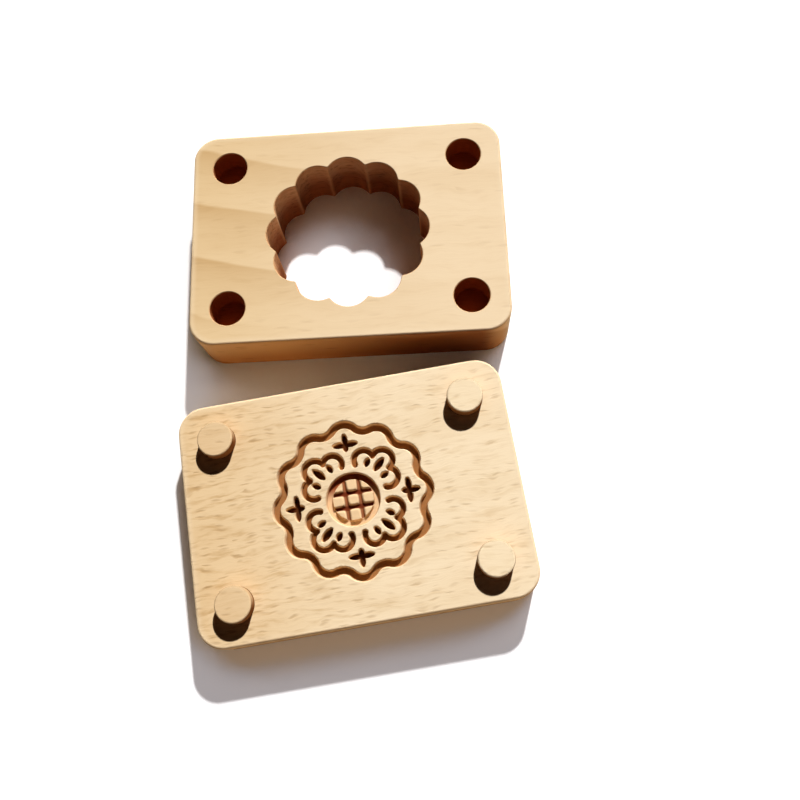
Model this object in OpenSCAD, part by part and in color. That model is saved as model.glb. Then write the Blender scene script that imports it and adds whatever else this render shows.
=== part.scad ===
// Two-part wooden mooncake mold: a carved pattern board with four glued pegs, and a fluted cavity block with
// four blind sockets. The board lies face up, and the block lies behind it with its sockets up.
// The origin is the middle of the board's underside, X runs along the board, and Z points up.

/* [Mold halves] */
// Length of both halves, side to side
mold_l = 100; // [84:1:150]
// Depth of both halves, front to back
mold_d = 72.5; // [64:0.5:120]
// Radius of the upright corners
corner_r = 8; // [3:0.5:14]
// Radius of the sanded edges
edge_r = 0.8; // [0.3:0.1:2]
// Thickness of the pattern board
board_h = 13.5; // [13:0.5:25]
// Thickness of the cavity block, which sets how deep the dough lies
block_h = 19; // [16:0.5:40]

/* [Pegs and sockets] */
// Diameter of the pegs
peg_d = 10.8; // [6:0.1:13]
// Height of a peg above the board
peg_h = 4.4; // [3:0.1:7]
// Depth of a peg's glued seat in the board
peg_seat = 9; // [6:0.5:10]
// Bevel round the top of a peg
peg_bevel = 0.6; // [0.2:0.1:1.5]
// Distance from a peg's axis to the board's short side
peg_inset_x = 12; // [10:0.5:16]
// Distance from a peg's axis to the board's long side
peg_inset_y = 11.75; // [10:0.25:14]
// Glue line round a peg in its seat
glue_gap = 0.05; // [0.02:0.01:0.2]
// Play round a peg in its socket
socket_play = 0.2; // [0.05:0.05:0.5]
// Free depth past the end of a peg in its socket
socket_room = 3.4; // [0.5:0.1:6]

/* [Fluted cavity] */
// Radius of the cavity at the crown of its flutes
cavity_r = 26; // [23:0.5:30]
// Number of flutes round the cavity
flutes = 12; // [8:1:16]
// Depth of a flute, from its crown to the ridge beside it
flute_depth = 2.7; // [1.5:0.1:4]

/* [Carved border] */
// Depth of the border, the petal outlines and the ring of the seed head
carve_depth = 2; // [1:0.1:3]
// Margin from the cavity wall to the border groove
border_margin = 1.8; // [1:0.1:4]
// Width of the border groove
border_w = 2.3; // [1.5:0.1:3]
// Sway of the border groove, from crown to valley
border_sway = 2.15; // [1:0.05:3]

/* [Carved petals] */
// Gap between the border and the tip of a petal
petal_gap = 1.25; // [0.6:0.05:3]
// Width of a petal's outline
petal_w = 1.7; // [1:0.1:2.2]
// Radius of a petal's middle lobe
petal_mid_r = 3.2; // [2.6:0.1:4]
// Radius of a petal's side lobes
petal_side_r = 2.9; // [2.6:0.1:3.6]
// Angle from a petal's axis to the centre of a side lobe
petal_spread = 22; // [18:0.5:26]
// Step in from the middle lobe's centre to the side lobes
petal_step = 2.25; // [1.5:0.05:3]
// Length of the middle slot of a petal
slot_l = 4.8; // [3:0.1:6]
// Width of the middle slot of a petal
slot_w = 2.1; // [1:0.1:2.6]
// Length of the side slots of a petal
side_slot_l = 2.8; // [2:0.1:4]
// Width of the side slots of a petal
side_slot_w = 1.7; // [1:0.1:2.2]
// Step in from the middle slot's centre to the side slots
side_slot_step = 1.1; // [0.5:0.1:1.6]
// Angle from a petal's axis to its side slots
side_slot_spread = 16; // [13:0.5:18]
// Depth of the slots and of the leaf crosses
slot_depth = 2.2; // [0.8:0.1:3]

/* [Carved leaf crosses] */
// Gap between the border and the outer leaf of a cross
cross_gap = 1.8; // [0.8:0.1:3]
// Length of the outer leaf
leaf_out_l = 3.3; // [2:0.1:4]
// Length of the two side leaves
leaf_side_l = 3.8; // [2:0.1:4.5]
// Length of the inner leaf
leaf_in_l = 2.2; // [1.5:0.1:3]
// Width of the leaves
leaf_w = 1.8; // [1.2:0.1:2.4]

/* [Carved seed head] */
// Radius of the seed head
head_r = 8; // [6.5:0.1:9]
// Width of the ring groove round the pads
ring_w = 1.9; // [1:0.1:2.5]
// Distance between the grooves that part the pads
pad_pitch = 4.3; // [3.6:0.1:5]
// How far the pads lie below the board's face
pad_drop = 0.6; // [0.2:0.1:0.7]
// How far the grooves between the pads end above the floor of the ring
pad_groove_rise = 0.2; // [0.1:0.05:0.3]

/* [Resting place of the block] */
// Clear gap behind the board, at the block's nearest corner
block_gap = 6.6; // [2:0.1:40]
// Sideways shift of the block from the board's middle
block_shift = 11.5; // [-40:0.5:40]
// Turn of the block, seen from above
block_turn = -7.4; // [-30:0.1:30]

/* [Hidden] */
$fn = 64;

// Cuts run this far past the face that they open
over = 1;
// Neighbouring arcs of the border cross by this much
blend = 0.03;
// A cutter leaves a hole this much wider than its groove where it starts or turns
plunge = 0.12;

peg_x = mold_l / 2 - peg_inset_x;
peg_y = mold_d / 2 - peg_inset_y;
socket_d = peg_d + 2 * socket_play;
socket_depth = peg_h + socket_room;

// A turned block reaches this far forward of its own middle
block_reach = (mold_l / 2 - corner_r) * abs(sin(block_turn))
    + (mold_d / 2 - corner_r) * cos(block_turn) + corner_r;
block_y = mold_d / 2 + block_gap + block_reach;

// A flute is an arc that touches the crown radius and ends on the ridges beside it
half_step = 180 / flutes;
ridge_r = cavity_r - flute_depth;
ridge_to_crown = cavity_r - ridge_r * cos(half_step);
flute_r = (pow(ridge_to_crown, 2) + pow(ridge_r * sin(half_step), 2)) / (2 * ridge_to_crown);
flute_centre = cavity_r - flute_r;

// The middle of the border groove sways between two radii on touching arcs of one radius
crown_r = cavity_r - border_margin - border_w / 2;
valley_r = crown_r - border_sway;
arc_a = 1 - cos(half_step);
arc_b = (1 + cos(half_step)) * border_sway;
arc_c = pow(crown_r, 2) + pow(valley_r, 2) - 2 * crown_r * valley_r * cos(half_step);
sway_r = (sqrt(pow(arc_b, 2) + 2 * arc_a * arc_c) - arc_b) / (2 * arc_a);
crown_centre = crown_r - sway_r;
valley_centre = valley_r + sway_r;

// The centres of a petal's lobes, with the petal's axis along X
petal_tip = valley_r - border_w / 2 - petal_gap - petal_w / 2;
mid_centre = [petal_tip - petal_mid_r, 0];
side_centre = (mid_centre.x - petal_step) * [cos(petal_spread), sin(petal_spread)];
lobe_gap = norm(side_centre - mid_centre);
lobe_way = (side_centre - mid_centre) / lobe_gap;
notch_along = (pow(lobe_gap, 2) + pow(petal_mid_r, 2) - pow(petal_side_r, 2)) / (2 * lobe_gap);
notch_out = sqrt(max(pow(petal_mid_r, 2) - pow(notch_along, 2), 0));
notch = mid_centre + notch_along * lobe_way + notch_out * [lobe_way.y, -lobe_way.x];
// The side lobes curl in to this direction, counted from the petal's axis
curl_end = 155;
slot_centre = mid_centre.x - petal_mid_r / 2;

cross_centre = crown_r - border_w / 2 - cross_gap - leaf_out_l;
// A leaf starts this far behind the middle of its cross
leaf_root = 0.6;

function direction(v) = atan2(v.y, v.x);
function on_circle(centre, r, a) = centre + r * [cos(a), sin(a)];

// Half of a plate's section, from its middle out to one sanded side
module side_section(reach, height) {
    square([reach - edge_r, height]);
    translate([0, edge_r])
        square([reach, height - 2 * edge_r]);
    for (z = [edge_r, height - edge_r])
        translate([reach - edge_r, z])
            circle(edge_r);
}

// A straight stretch of plate between two rounded corners
module straight_run(reach, height, length) {
    rotate([90, 0, 90])
        translate([0, 0, -length / 2])
            linear_extrude(length) {
                side_section(reach, height);
                mirror([1, 0])
                    side_section(reach, height);
            }
}

// A board with rounded corners and sanded edges
module plate(height) {
    straight_run(mold_d / 2, height, mold_l - 2 * corner_r);
    rotate(90)
        straight_run(mold_l / 2, height, mold_d - 2 * corner_r);
    for (turn = [0, 180])
        rotate(turn)
            for (side = [0, 1])
                mirror([side, 0])
                    translate([mold_l / 2 - corner_r, mold_d / 2 - corner_r])
                        rotate_extrude(angle = 90)
                            side_section(corner_r, height);
}

// Copies its children to the four peg places
module at_pegs() {
    for (x = [-peg_x, peg_x], y = [-peg_y, peg_y])
        translate([x, y])
            children();
}

module round_holes(d, top, depth) {
    at_pegs()
        translate([0, 0, top - depth])
            cylinder(d = d, h = depth + over);
}

// Copies its children round the middle, with a copy on the board's long axis
module round_about(count, start = 0) {
    for (i = [0 : count - 1])
        rotate(start + i * 360 / count)
            children();
}

module fluted_cavity() {
    translate([0, 0, -over])
        linear_extrude(block_h + 2 * over) {
            circle(flute_centre);
            round_about(flutes)
                translate([flute_centre, 0])
                    circle(flute_r);
        }
}

// The area inside the border groove's middle line, grown by a distance
module border_area(grow) {
    touch = [crown_centre, 0] + (sway_r + grow)
        * (valley_centre * [cos(half_step), sin(half_step)] - [crown_centre, 0]) / (2 * sway_r);
    difference() {
        union() {
            circle(norm(touch));
            round_about(flutes)
                translate([crown_centre, 0])
                    circle(sway_r + grow);
        }
        round_about(flutes, half_step)
            translate([valley_centre, 0])
                circle(sway_r - grow + blend);
    }
}

module border() {
    difference() {
        border_area(border_w / 2);
        border_area(-border_w / 2);
    }
}

// A groove that follows an arc
module arc_groove(centre, r, from, to) {
    translate(centre)
        intersection() {
            difference() {
                circle(r + petal_w / 2);
                circle(r - petal_w / 2);
            }
            polygon([[0, 0], for (i = [0 : 4]) on_circle([0, 0], 2 * r, from + (to - from) * i / 4)]);
        }
}

module petal_half() {
    arc_groove(mid_centre, petal_mid_r, 0, direction(notch - mid_centre));
    arc_groove(side_centre, petal_side_r, direction(notch - side_centre), curl_end);
    for (end = [notch, on_circle(side_centre, petal_side_r, curl_end)])
        translate(end)
            circle(d = petal_w + plunge);
}

module petal_outline() {
    petal_half();
    mirror([0, 1])
        petal_half();
}

// A leaf between two arcs, along X with its middle at the origin
module leaf(l, w) {
    r = (pow(l, 2) + pow(w, 2)) / (4 * w);
    intersection() {
        translate([0, r - w / 2])
            circle(r);
        translate([0, w / 2 - r])
            circle(r);
    }
}

module petal_slots() {
    translate([slot_centre, 0])
        leaf(slot_l, slot_w);
    for (turn = [-side_slot_spread, side_slot_spread])
        rotate(turn)
            translate([slot_centre - side_slot_step, 0])
                leaf(side_slot_l, side_slot_w);
}

// A leaf that grows out of the middle of a cross
module grown_leaf(l, turn) {
    rotate(turn)
        translate([(l - leaf_root) / 2, 0])
            leaf(l + leaf_root, leaf_w);
}

module leaf_cross() {
    translate([cross_centre, 0]) {
        grown_leaf(leaf_out_l, 0);
        grown_leaf(leaf_side_l, 90);
        grown_leaf(leaf_side_l, -90);
        grown_leaf(leaf_in_l, 180);
    }
}

// The grooves that part the pads, cut with a square edge
module pad_grooves() {
    drop = carve_depth - pad_drop - pad_groove_rise;
    for (turn = [0, 90], x = [-pad_pitch / 2, pad_pitch / 2])
        rotate(turn)
            translate([x, 0, -pad_drop])
                rotate([0, 45, 0])
                    cube([sqrt(2) * drop, 2 * head_r, sqrt(2) * drop], center = true);
}

module seed_head() {
    translate([0, 0, -pad_drop])
        cylinder(r = head_r, h = pad_drop + over);
    translate([0, 0, -carve_depth])
        linear_extrude(carve_depth)
            difference() {
                circle(head_r);
                circle(head_r - ring_w);
            }
    intersection() {
        pad_grooves();
        translate([0, 0, -carve_depth])
            cylinder(r = head_r - ring_w / 2, h = carve_depth + over);
    }
}

module sunk(depth) {
    translate([0, 0, -depth])
        linear_extrude(depth + over)
            children();
}

// Everything carved out of the board's face, which lies at height 0
module carving() {
    sunk(carve_depth)
        border();
    sunk(carve_depth)
        round_about(4, 45)
            petal_outline();
    sunk(slot_depth)
        round_about(4, 45)
            petal_slots();
    sunk(slot_depth)
        round_about(4)
            leaf_cross();
    seed_head();
}

module pattern_board() {
    color("#e8c692")
        difference() {
            plate(board_h);
            round_holes(peg_d + 2 * glue_gap, board_h, peg_seat);
            translate([0, 0, board_h])
                carving();
        }
}

module cavity_block() {
    color("#edcf9c")
        translate([block_shift, block_y, 0])
            rotate(block_turn)
                difference() {
                    plate(block_h);
                    fluted_cavity();
                    round_holes(socket_d, block_h, socket_depth);
                }
}

// A turned peg that stands on the floor of its seat
module peg(side, way) {
    peg_l = peg_seat + peg_h;
    color("#e2b97f")
        translate([side * peg_x, way * peg_y, board_h - peg_seat])
            rotate_extrude()
                polygon([
                    [0, 0],
                    [peg_d / 2, 0],
                    [peg_d / 2, peg_l - peg_bevel],
                    [peg_d / 2 - peg_bevel, peg_l],
                    [0, peg_l]
                ]);
}

module peg_front_left() { peg(-1, -1); }
module peg_front_right() { peg(1, -1); }
module peg_rear_left() { peg(-1, 1); }
module peg_rear_right() { peg(1, 1); }

pattern_board();
cavity_block();
peg_front_left();
peg_front_right();
peg_rear_left();
peg_rear_right();
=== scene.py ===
# %% [markdown]
# # A two-part wooden mooncake mold
# The mold is two plates of pale wood. The pattern board lies in front with its carved flower up and a peg
# in each corner. The cavity block lies behind it with a fluted hole right through and a socket in each
# corner. In use the block is turned over and set on the pegs, the hole is filled, and the board prints the
# flower on what is pressed in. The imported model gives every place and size, so it is loaded first and never
# moved.

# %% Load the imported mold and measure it
import math

import bmesh
import bpy
import numpy as np
from mathutils import Matrix, Vector


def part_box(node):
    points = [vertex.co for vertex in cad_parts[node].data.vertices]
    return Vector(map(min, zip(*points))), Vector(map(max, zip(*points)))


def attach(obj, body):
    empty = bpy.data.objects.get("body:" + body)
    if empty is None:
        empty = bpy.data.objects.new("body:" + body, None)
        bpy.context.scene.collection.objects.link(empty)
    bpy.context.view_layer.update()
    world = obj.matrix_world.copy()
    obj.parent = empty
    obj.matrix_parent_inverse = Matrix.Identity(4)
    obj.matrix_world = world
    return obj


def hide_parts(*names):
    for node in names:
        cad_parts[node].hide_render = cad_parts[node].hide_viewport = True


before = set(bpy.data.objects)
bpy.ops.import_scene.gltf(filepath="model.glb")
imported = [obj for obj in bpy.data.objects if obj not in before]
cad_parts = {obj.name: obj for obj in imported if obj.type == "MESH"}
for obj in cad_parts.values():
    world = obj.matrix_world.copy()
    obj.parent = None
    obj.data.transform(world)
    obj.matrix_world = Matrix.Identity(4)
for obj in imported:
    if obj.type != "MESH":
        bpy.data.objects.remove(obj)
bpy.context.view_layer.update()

MM = 0.001
board_low, board_high = (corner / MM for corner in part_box("pattern_board"))
block_low, block_high = (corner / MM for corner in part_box("cavity_block"))
PEGS = ("peg_front_left", "peg_front_right", "peg_rear_left", "peg_rear_right")
peg_boxes = [[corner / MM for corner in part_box(name)] for name in PEGS]

MOLD_L = board_high.x - board_low.x
MOLD_D = board_high.y - board_low.y
BOARD_H = board_high.z
BLOCK_H = block_high.z
BLOCK_MIDDLE = (block_low + block_high) / 2
BLOCK_TURN = math.radians(-7.4)
PEG_PLACES = [((low + high) / 2).to_2d() for low, high in peg_boxes]
PEG_BOTTOM, PEG_TOP = peg_boxes[0][0].z, peg_boxes[0][1].z
PEG_R = (peg_boxes[0][1].x - peg_boxes[0][0].x) / 2
print(f"board {MOLD_L:.1f} x {MOLD_D:.1f} x {BOARD_H:.1f} mm, block {BLOCK_H:.1f} mm high")

# %% [markdown]
# ## The camera
# The photograph looks down steeply from the front, with the camera rolled to one side, so the plates seem
# to turn. A Track To constraint can't roll like that. The three axes of the camera are worked out instead,
# from the dip below the horizon, the roll and a small turn, and they become the columns of its matrix.

# %% Place the camera
IMAGE_PIXELS = 800
FOCAL_PIXELS = 861.3
CAMERA_DIP = math.radians(73.80)
CAMERA_ROLL = math.radians(11.95)
CAMERA_TURN = math.radians(2.03)
CAMERA_PLACE = Vector((21.27, -45.54, 265.3)) * MM


def camera_axes():
    """The camera's right, up and backward directions."""
    ahead = Vector((0, math.cos(CAMERA_DIP), -math.sin(CAMERA_DIP)))
    level = Vector((1, 0, 0))
    down = ahead.cross(level)
    right = math.cos(CAMERA_ROLL) * level + math.sin(CAMERA_ROLL) * down
    up = math.sin(CAMERA_ROLL) * level - math.cos(CAMERA_ROLL) * down
    turn = Matrix.Rotation(CAMERA_TURN, 3, "Z")
    return turn @ right, turn @ up, turn @ -ahead


lens = bpy.data.cameras.new("photo_camera")
lens.sensor_width = 36
lens.lens = FOCAL_PIXELS / IMAGE_PIXELS * lens.sensor_width
lens.clip_start = 0.01
camera = bpy.data.objects.new("photo_camera", lens)
bpy.context.scene.collection.objects.link(camera)
camera.matrix_world = Matrix.Translation(CAMERA_PLACE) @ Matrix(camera_axes()).transposed().to_4x4()
bpy.context.scene.camera = camera
print(f"camera: {lens.lens:.2f} mm lens, {CAMERA_PLACE.z / MM:.0f} mm above the floor")

# %% [markdown]
# ## Shader nodes in plain words
# Every finish here is built from nodes, and most of that code would be the same few lines again and again.
# Small helpers keep it readable: one adds a node and feeds its inputs, and the others add a sum, a soft
# step, a mix of colours, a noise or a stretched place. A colour is written as it looks on a screen and
# turned into the linear light that shaders work with.

# %% Helpers for shader nodes
def feed(tree, socket, value):
    """Sets an input to a value, or links another node's socket to it."""
    if isinstance(value, bpy.types.NodeSocket):
        tree.links.new(value, socket)
    else:
        socket.default_value = value


def node(tree, kind, inputs=None, **settings):
    """Adds a node, sets its properties and feeds its inputs."""
    made = tree.nodes.new(kind)
    for key, value in settings.items():
        setattr(made, key, value)
    for key, value in (inputs or {}).items():
        feed(tree, made.inputs[key], value)
    return made


def sum_of(tree, operation, *terms):
    """A Math node, such as ADD or MULTIPLY, on one to three terms."""
    return node(tree, "ShaderNodeMath", dict(enumerate(terms)), operation=operation).outputs[0]


def vector_sum(tree, operation, first, second):
    """A Vector Math node on two vectors."""
    return node(tree, "ShaderNodeVectorMath", {0: first, 1: second}, operation=operation).outputs[0]


def fade(tree, value, start, end):
    """0 up to start and 1 from end on, with a smooth step between. start may be the larger."""
    inputs = {"Value": value, "From Min": start, "From Max": end}
    made = node(tree, "ShaderNodeMapRange", inputs, interpolation_type="SMOOTHSTEP")
    return made.outputs["Result"]


def mix(tree, share, first, second, blend="MIX"):
    """Mixes two colours."""
    made = node(tree, "ShaderNodeMix", data_type="RGBA", blend_type=blend)
    for socket, value in zip((made.inputs[0], made.inputs[6], made.inputs[7]), (share, first, second)):
        feed(tree, socket, value)
    return made.outputs[2]


def noise(tree, vector, detail=2.0, roughness=0.5):
    """Smooth noise from 0 to 1, with lumps of about size 1."""
    inputs = {"Vector": vector, "Scale": 1.0, "Detail": detail, "Roughness": roughness}
    return node(tree, "ShaderNodeTexNoise", inputs).outputs["Fac"]


def stretched(tree, vector, along, across):
    """Squeezes a place so that a texture of size 1 becomes long in X and narrow in Y and Z."""
    return vector_sum(tree, "MULTIPLY", vector, (1 / along, 1 / across, 1 / across))


def axes_of(tree, place):
    """A place's X, Y and Z."""
    return node(tree, "ShaderNodeSeparateXYZ", {0: place}).outputs


def colour(red, green, blue):
    """A screen colour, 0 to 255, as linear light."""
    shares = np.array((red, green, blue)) / 255
    linear = np.where(shares <= 0.04045, shares / 12.92, ((shares + 0.055) / 1.055) ** 2.4)
    return (*(float(x) for x in linear), 1.0)


print("half bright on a screen is", round(colour(128, 128, 128)[0], 3), "in linear light")

# %% [markdown]
# ## The light
# The photograph has one hard light from behind on the right, and little light in the shadows. A sun lamp
# gives the hard light, a few degrees wide so that the shadow edges go soft. The world is nearly dark, apart
# from a low warm band in front: it reaches the upright front sides, and hardly the flat shadows on the
# board. A lamp there would throw shadows of its own. What the camera sees of the world is plain white, and
# that lights nothing.

# %% Light the scene
SUN_TRAVEL = Vector((-0.490, -1.114, -1.0))
SUN_LEVEL = 1.0
SUN_WIDTH = math.radians(2.2)
FILL_LEVEL, FILL_COLOUR = 0.008, (1.0, 0.50, 0.35, 1.0)
FRONT_LEVEL, FRONT_COLOUR = 1.0, (1.0, 0.75, 0.55, 1.0)
FRONT_SIDE = (0.45, -0.89, 0.0)
FRONT_SPREAD, FRONT_HEIGHT = (0.3, 0.85), (0.32, 0.05)
WHITE = (1.0, 1.0, 1.0, 1.0)


def seen_directly(tree):
    """1 for rays that show the background itself: from the camera, off gloss or through glass."""
    path = node(tree, "ShaderNodeLightPath").outputs
    straight = sum_of(tree, "MAXIMUM", path["Is Camera Ray"], path["Is Glossy Ray"])
    return sum_of(tree, "MAXIMUM", straight, path["Is Transmission Ray"])


lamp = bpy.data.lights.new("window_light", "SUN")
lamp.energy = SUN_LEVEL * math.pi / math.sin(math.atan2(1.0, SUN_TRAVEL.xy.length))
lamp.angle = SUN_WIDTH
sun = bpy.data.objects.new("window_light", lamp)
sun.rotation_euler = SUN_TRAVEL.to_track_quat("-Z", "Y").to_euler()
bpy.context.scene.collection.objects.link(sun)

world = bpy.data.worlds.new("pale_room")
world.use_nodes = True
bpy.context.scene.world = world
air = world.node_tree
air.nodes.clear()
way_out = node(air, "ShaderNodeTexCoord").outputs["Generated"]
forward = node(air, "ShaderNodeVectorMath", {0: way_out, 1: FRONT_SIDE}, operation="DOT_PRODUCT")
rise = axes_of(air, way_out)["Z"]
ahead = fade(air, forward.outputs["Value"], *FRONT_SPREAD)
in_front = sum_of(air, "MULTIPLY", ahead, fade(air, rise, *FRONT_HEIGHT))
fill_colour = mix(air, in_front, FILL_COLOUR, FRONT_COLOUR)
fill_level = sum_of(air, "MULTIPLY_ADD", in_front, FRONT_LEVEL - FILL_LEVEL, FILL_LEVEL)
fill = node(air, "ShaderNodeBackground", {"Color": fill_colour, "Strength": fill_level})
white = node(air, "ShaderNodeBackground", {"Color": WHITE, "Strength": 1.0})
either = node(air, "ShaderNodeMixShader", {0: seen_directly(air), 1: fill.outputs[0], 2: white.outputs[0]})
node(air, "ShaderNodeOutputWorld", {"Surface": either.outputs[0]})
bpy.context.scene.view_settings.view_transform = "Standard"
print(f"sun {lamp.energy:.2f}, fill {FILL_LEVEL}, front {FRONT_LEVEL}")

# %% [markdown]
# ## The floor
# The floor is white paper that stays pale even in shadow, and only goes dark close to the wood. More fill
# light would do that, but it would also wash out the shadows on the mold. So the paper gets a painted glow of
# its own that only the camera sees: painted light that lifts its shadows. It is strong where the floor is
# open towards the room, weaker and warmer where it is only open to the front, and nearly gone in corners,
# where it leaves painted shade. Ambient Occlusion with a tilted normal measures that openness.

# %% Lay the floor
FLOOR_SIZE = 3.0
FLOOR_WHITE = (0.85, 0.85, 0.85, 1.0)
GLOW_CORNER, CORNER_COLOUR = 0.01, (1.0, 0.55, 0.40, 1.0)
GLOW_OPEN, OPEN_COLOUR = 0.35, (1.0, 0.94, 0.97, 1.0)
GLOW_FRONT, GLOW_FRONT_COLOUR = 0.19, (1.0, 0.70, 0.46, 1.0)
ROOM_SIDE, ROOM_HEIGHT, ROOM_REACH = math.radians(40), math.radians(60), 0.03
NEAR_SIDE, NEAR_HEIGHT, NEAR_REACH = math.radians(-80), math.radians(35), 0.06

bpy.ops.object.select_all(action="DESELECT")
bpy.ops.mesh.primitive_plane_add(size=FLOOR_SIZE)
floor = bpy.context.object
floor.name = "floor"
paper = bpy.data.materials.new("white_paper")
paper.use_nodes = True
sheet = paper.node_tree
sheet.nodes.clear()


def open_towards(side, height, reach):
    """How open the floor is towards one side of the room, from 0 to 1."""
    level = math.cos(height)
    way = {0: math.cos(side) * level, 1: math.sin(side) * level, 2: math.sin(height)}
    normal = node(sheet, "ShaderNodeCombineXYZ", way).outputs[0]
    inputs = {"Distance": reach, "Normal": normal}
    return node(sheet, "ShaderNodeAmbientOcclusion", inputs, samples=16).outputs["AO"]


# Painted light and shade on the floor: the glow follows how open the floor is.
to_room = fade(sheet, open_towards(ROOM_SIDE, ROOM_HEIGHT, ROOM_REACH), 0.45, 0.80)
to_front = fade(sheet, open_towards(NEAR_SIDE, NEAR_HEIGHT, NEAR_REACH), 0.60, 0.88)
room_level = sum_of(sheet, "MULTIPLY_ADD", to_room, GLOW_OPEN - GLOW_CORNER, GLOW_CORNER)
front_level = sum_of(sheet, "MULTIPLY", to_front, GLOW_FRONT)
glow_colour = mix(sheet, fade(sheet, to_room, 0.0, 0.5), CORNER_COLOUR, OPEN_COLOUR)
front_leads = fade(sheet, sum_of(sheet, "SUBTRACT", front_level, room_level), -0.05, 0.05)
glow_colour = mix(sheet, front_leads, glow_colour, GLOW_FRONT_COLOUR)
glow_level = sum_of(sheet, "MAXIMUM", room_level, front_level)
glow_level = sum_of(sheet, "MULTIPLY", glow_level, seen_directly(sheet))
matt = node(sheet, "ShaderNodeBsdfDiffuse", {"Color": FLOOR_WHITE})
glow = node(sheet, "ShaderNodeEmission", {"Color": glow_colour, "Strength": glow_level})
both = node(sheet, "ShaderNodeAddShader", {0: matt.outputs[0], 1: glow.outputs[0]})
node(sheet, "ShaderNodeOutputMaterial", {"Surface": both.outputs[0]})
floor.data.materials.append(paper)
print(f"floor {FLOOR_SIZE} m wide")

# %% [markdown]
# ## The flecks of beech
# Beech shows short dark flecks along the grain. An image could show them, but only on one face. A node
# group that works on a place in millimetres runs the pattern through the solid wood instead: dashes on the
# faces, and dots on the cut ends. Stretched cells give the dashes, and each cell's own colour draws which
# of them are dark.

# %% Build the node group for flecks
def new_group(name, inputs, outputs):
    """An empty shader node group with a place and named numbers as inputs, and numbers as outputs."""
    group = bpy.data.node_groups.new(name, "ShaderNodeTree")
    group.interface.new_socket("Place", in_out="INPUT", socket_type="NodeSocketVector")
    for title, value in inputs.items():
        socket = group.interface.new_socket(title, in_out="INPUT", socket_type="NodeSocketFloat")
        socket.default_value = value
    for title in outputs:
        group.interface.new_socket(title, in_out="OUTPUT", socket_type="NodeSocketFloat")
    given = group.nodes.new("NodeGroupInput").outputs
    wanted = group.nodes.new("NodeGroupOutput").inputs
    return group, given, wanted


def wavering(tree, place):
    """Moves a place aside in slow waves with a short waver, because grain never runs quite straight."""
    sway = noise(tree, stretched(tree, place, 22, 9))
    waver = noise(tree, stretched(tree, place, 5, 3))
    aside = sum_of(tree, "ADD", sum_of(tree, "MULTIPLY", sway, 5.0), sum_of(tree, "MULTIPLY", waver, 1.6))
    return vector_sum(tree, "ADD", place, node(tree, "ShaderNodeCombineXYZ", {"Y": aside}).outputs[0])


def fleck_group():
    """Short dark dashes: stretched cells, of which only a share is dark."""
    group, given, wanted = new_group("wood_flecks", {"Length": 4.5, "Width": 1.0, "Share": 0.6}, ["Flecks"])
    length, width = given["Length"], given["Width"]
    size = node(group, "ShaderNodeCombineXYZ", {"X": length, "Y": width, "Z": width}).outputs[0]
    inputs = {"Vector": vector_sum(group, "DIVIDE", wavering(group, given["Place"]), size), "Scale": 1.0}
    cells = node(group, "ShaderNodeTexVoronoi", inputs, voronoi_dimensions="3D").outputs
    draw = node(group, "ShaderNodeSeparateColor", {"Color": cells["Color"]}).outputs[0]
    dark = fade(group, sum_of(group, "SUBTRACT", given["Share"], draw), 0.0, 0.35)
    dash = fade(group, cells["Distance"], 0.5, 0.08)
    group.links.new(sum_of(group, "MULTIPLY", dark, dash), wanted["Flecks"])
    return group


FLECKS = fleck_group()
print("node group:", FLECKS.name)

# %% [markdown]
# ## Fibres
# Between the flecks, a sanded face is full of fine fibres and broader streaks, and a plank is never one
# tone from end to end. Three noises at three sizes give that, all stretched along the grain. One noise with
# more detail would mix the sizes, and then the finishes couldn't weigh each by itself.

# %% Build the node group for fibres
def fibre_group():
    """Fine fibres and broader streaks along the grain, and wide soft changes of tone."""
    group, given, wanted = new_group("wood_fibre", {}, ["Fibre", "Streak", "Tone"])
    swayed = wavering(group, given["Place"])
    group.links.new(noise(group, stretched(group, swayed, 12, 0.5), 4.0, 0.6), wanted["Fibre"])
    group.links.new(noise(group, stretched(group, swayed, 9, 1.5), 3.0, 0.55), wanted["Streak"])
    group.links.new(noise(group, stretched(group, given["Place"], 46, 13)), wanted["Tone"])
    return group


FIBRE = fibre_group()
print("node group:", FIBRE.name)

# %% [markdown]
# ## Growth bands
# Where the saw cuts the rings of a tree at a flat angle, they show as wide bands that bow across the face.
# A Wave texture could draw stripes, but a band darkens slowly and ends at a sharp line. So the group
# measures how far a place lies along a bowed axis, takes what is left after whole bands, and raises that to
# a power.

# %% Build the node group for growth bands
def ring_group():
    """Growth bands that bow across a flat-sawn face: each one darkens slowly and ends at a sharp line."""
    inputs = {"Pitch": 19.0, "Bow": 13.0, "Bow Middle": 30.0, "Bow Reach": 80.0, "Start": 0.0}
    group, given, wanted = new_group("growth_rings", inputs, ["Rings"])
    place = axes_of(group, given["Place"])
    aside = sum_of(group, "SUBTRACT", place["X"], given["Bow Middle"])
    out = sum_of(group, "ABSOLUTE", sum_of(group, "DIVIDE", aside, given["Bow Reach"]))
    bow = sum_of(group, "MULTIPLY", sum_of(group, "POWER", out, 2.0), given["Bow"])
    sway = sum_of(group, "MULTIPLY", noise(group, stretched(group, given["Place"], 30, 16)), 5.0)
    level = sum_of(group, "ADD", sum_of(group, "SUBTRACT", place["Y"], bow), sway)
    level = sum_of(group, "MULTIPLY_ADD", place["Z"], 0.55, level)
    turns = sum_of(group, "DIVIDE", sum_of(group, "SUBTRACT", level, given["Start"]), given["Pitch"])
    part = sum_of(group, "FRACT", turns)
    darkening = sum_of(group, "POWER", part, 1.7)
    group.links.new(sum_of(group, "MULTIPLY", darkening, fade(group, part, 1.0, 0.93)), wanted["Rings"])
    return group


RINGS = ring_group()
print("node group:", RINGS.name)
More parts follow.
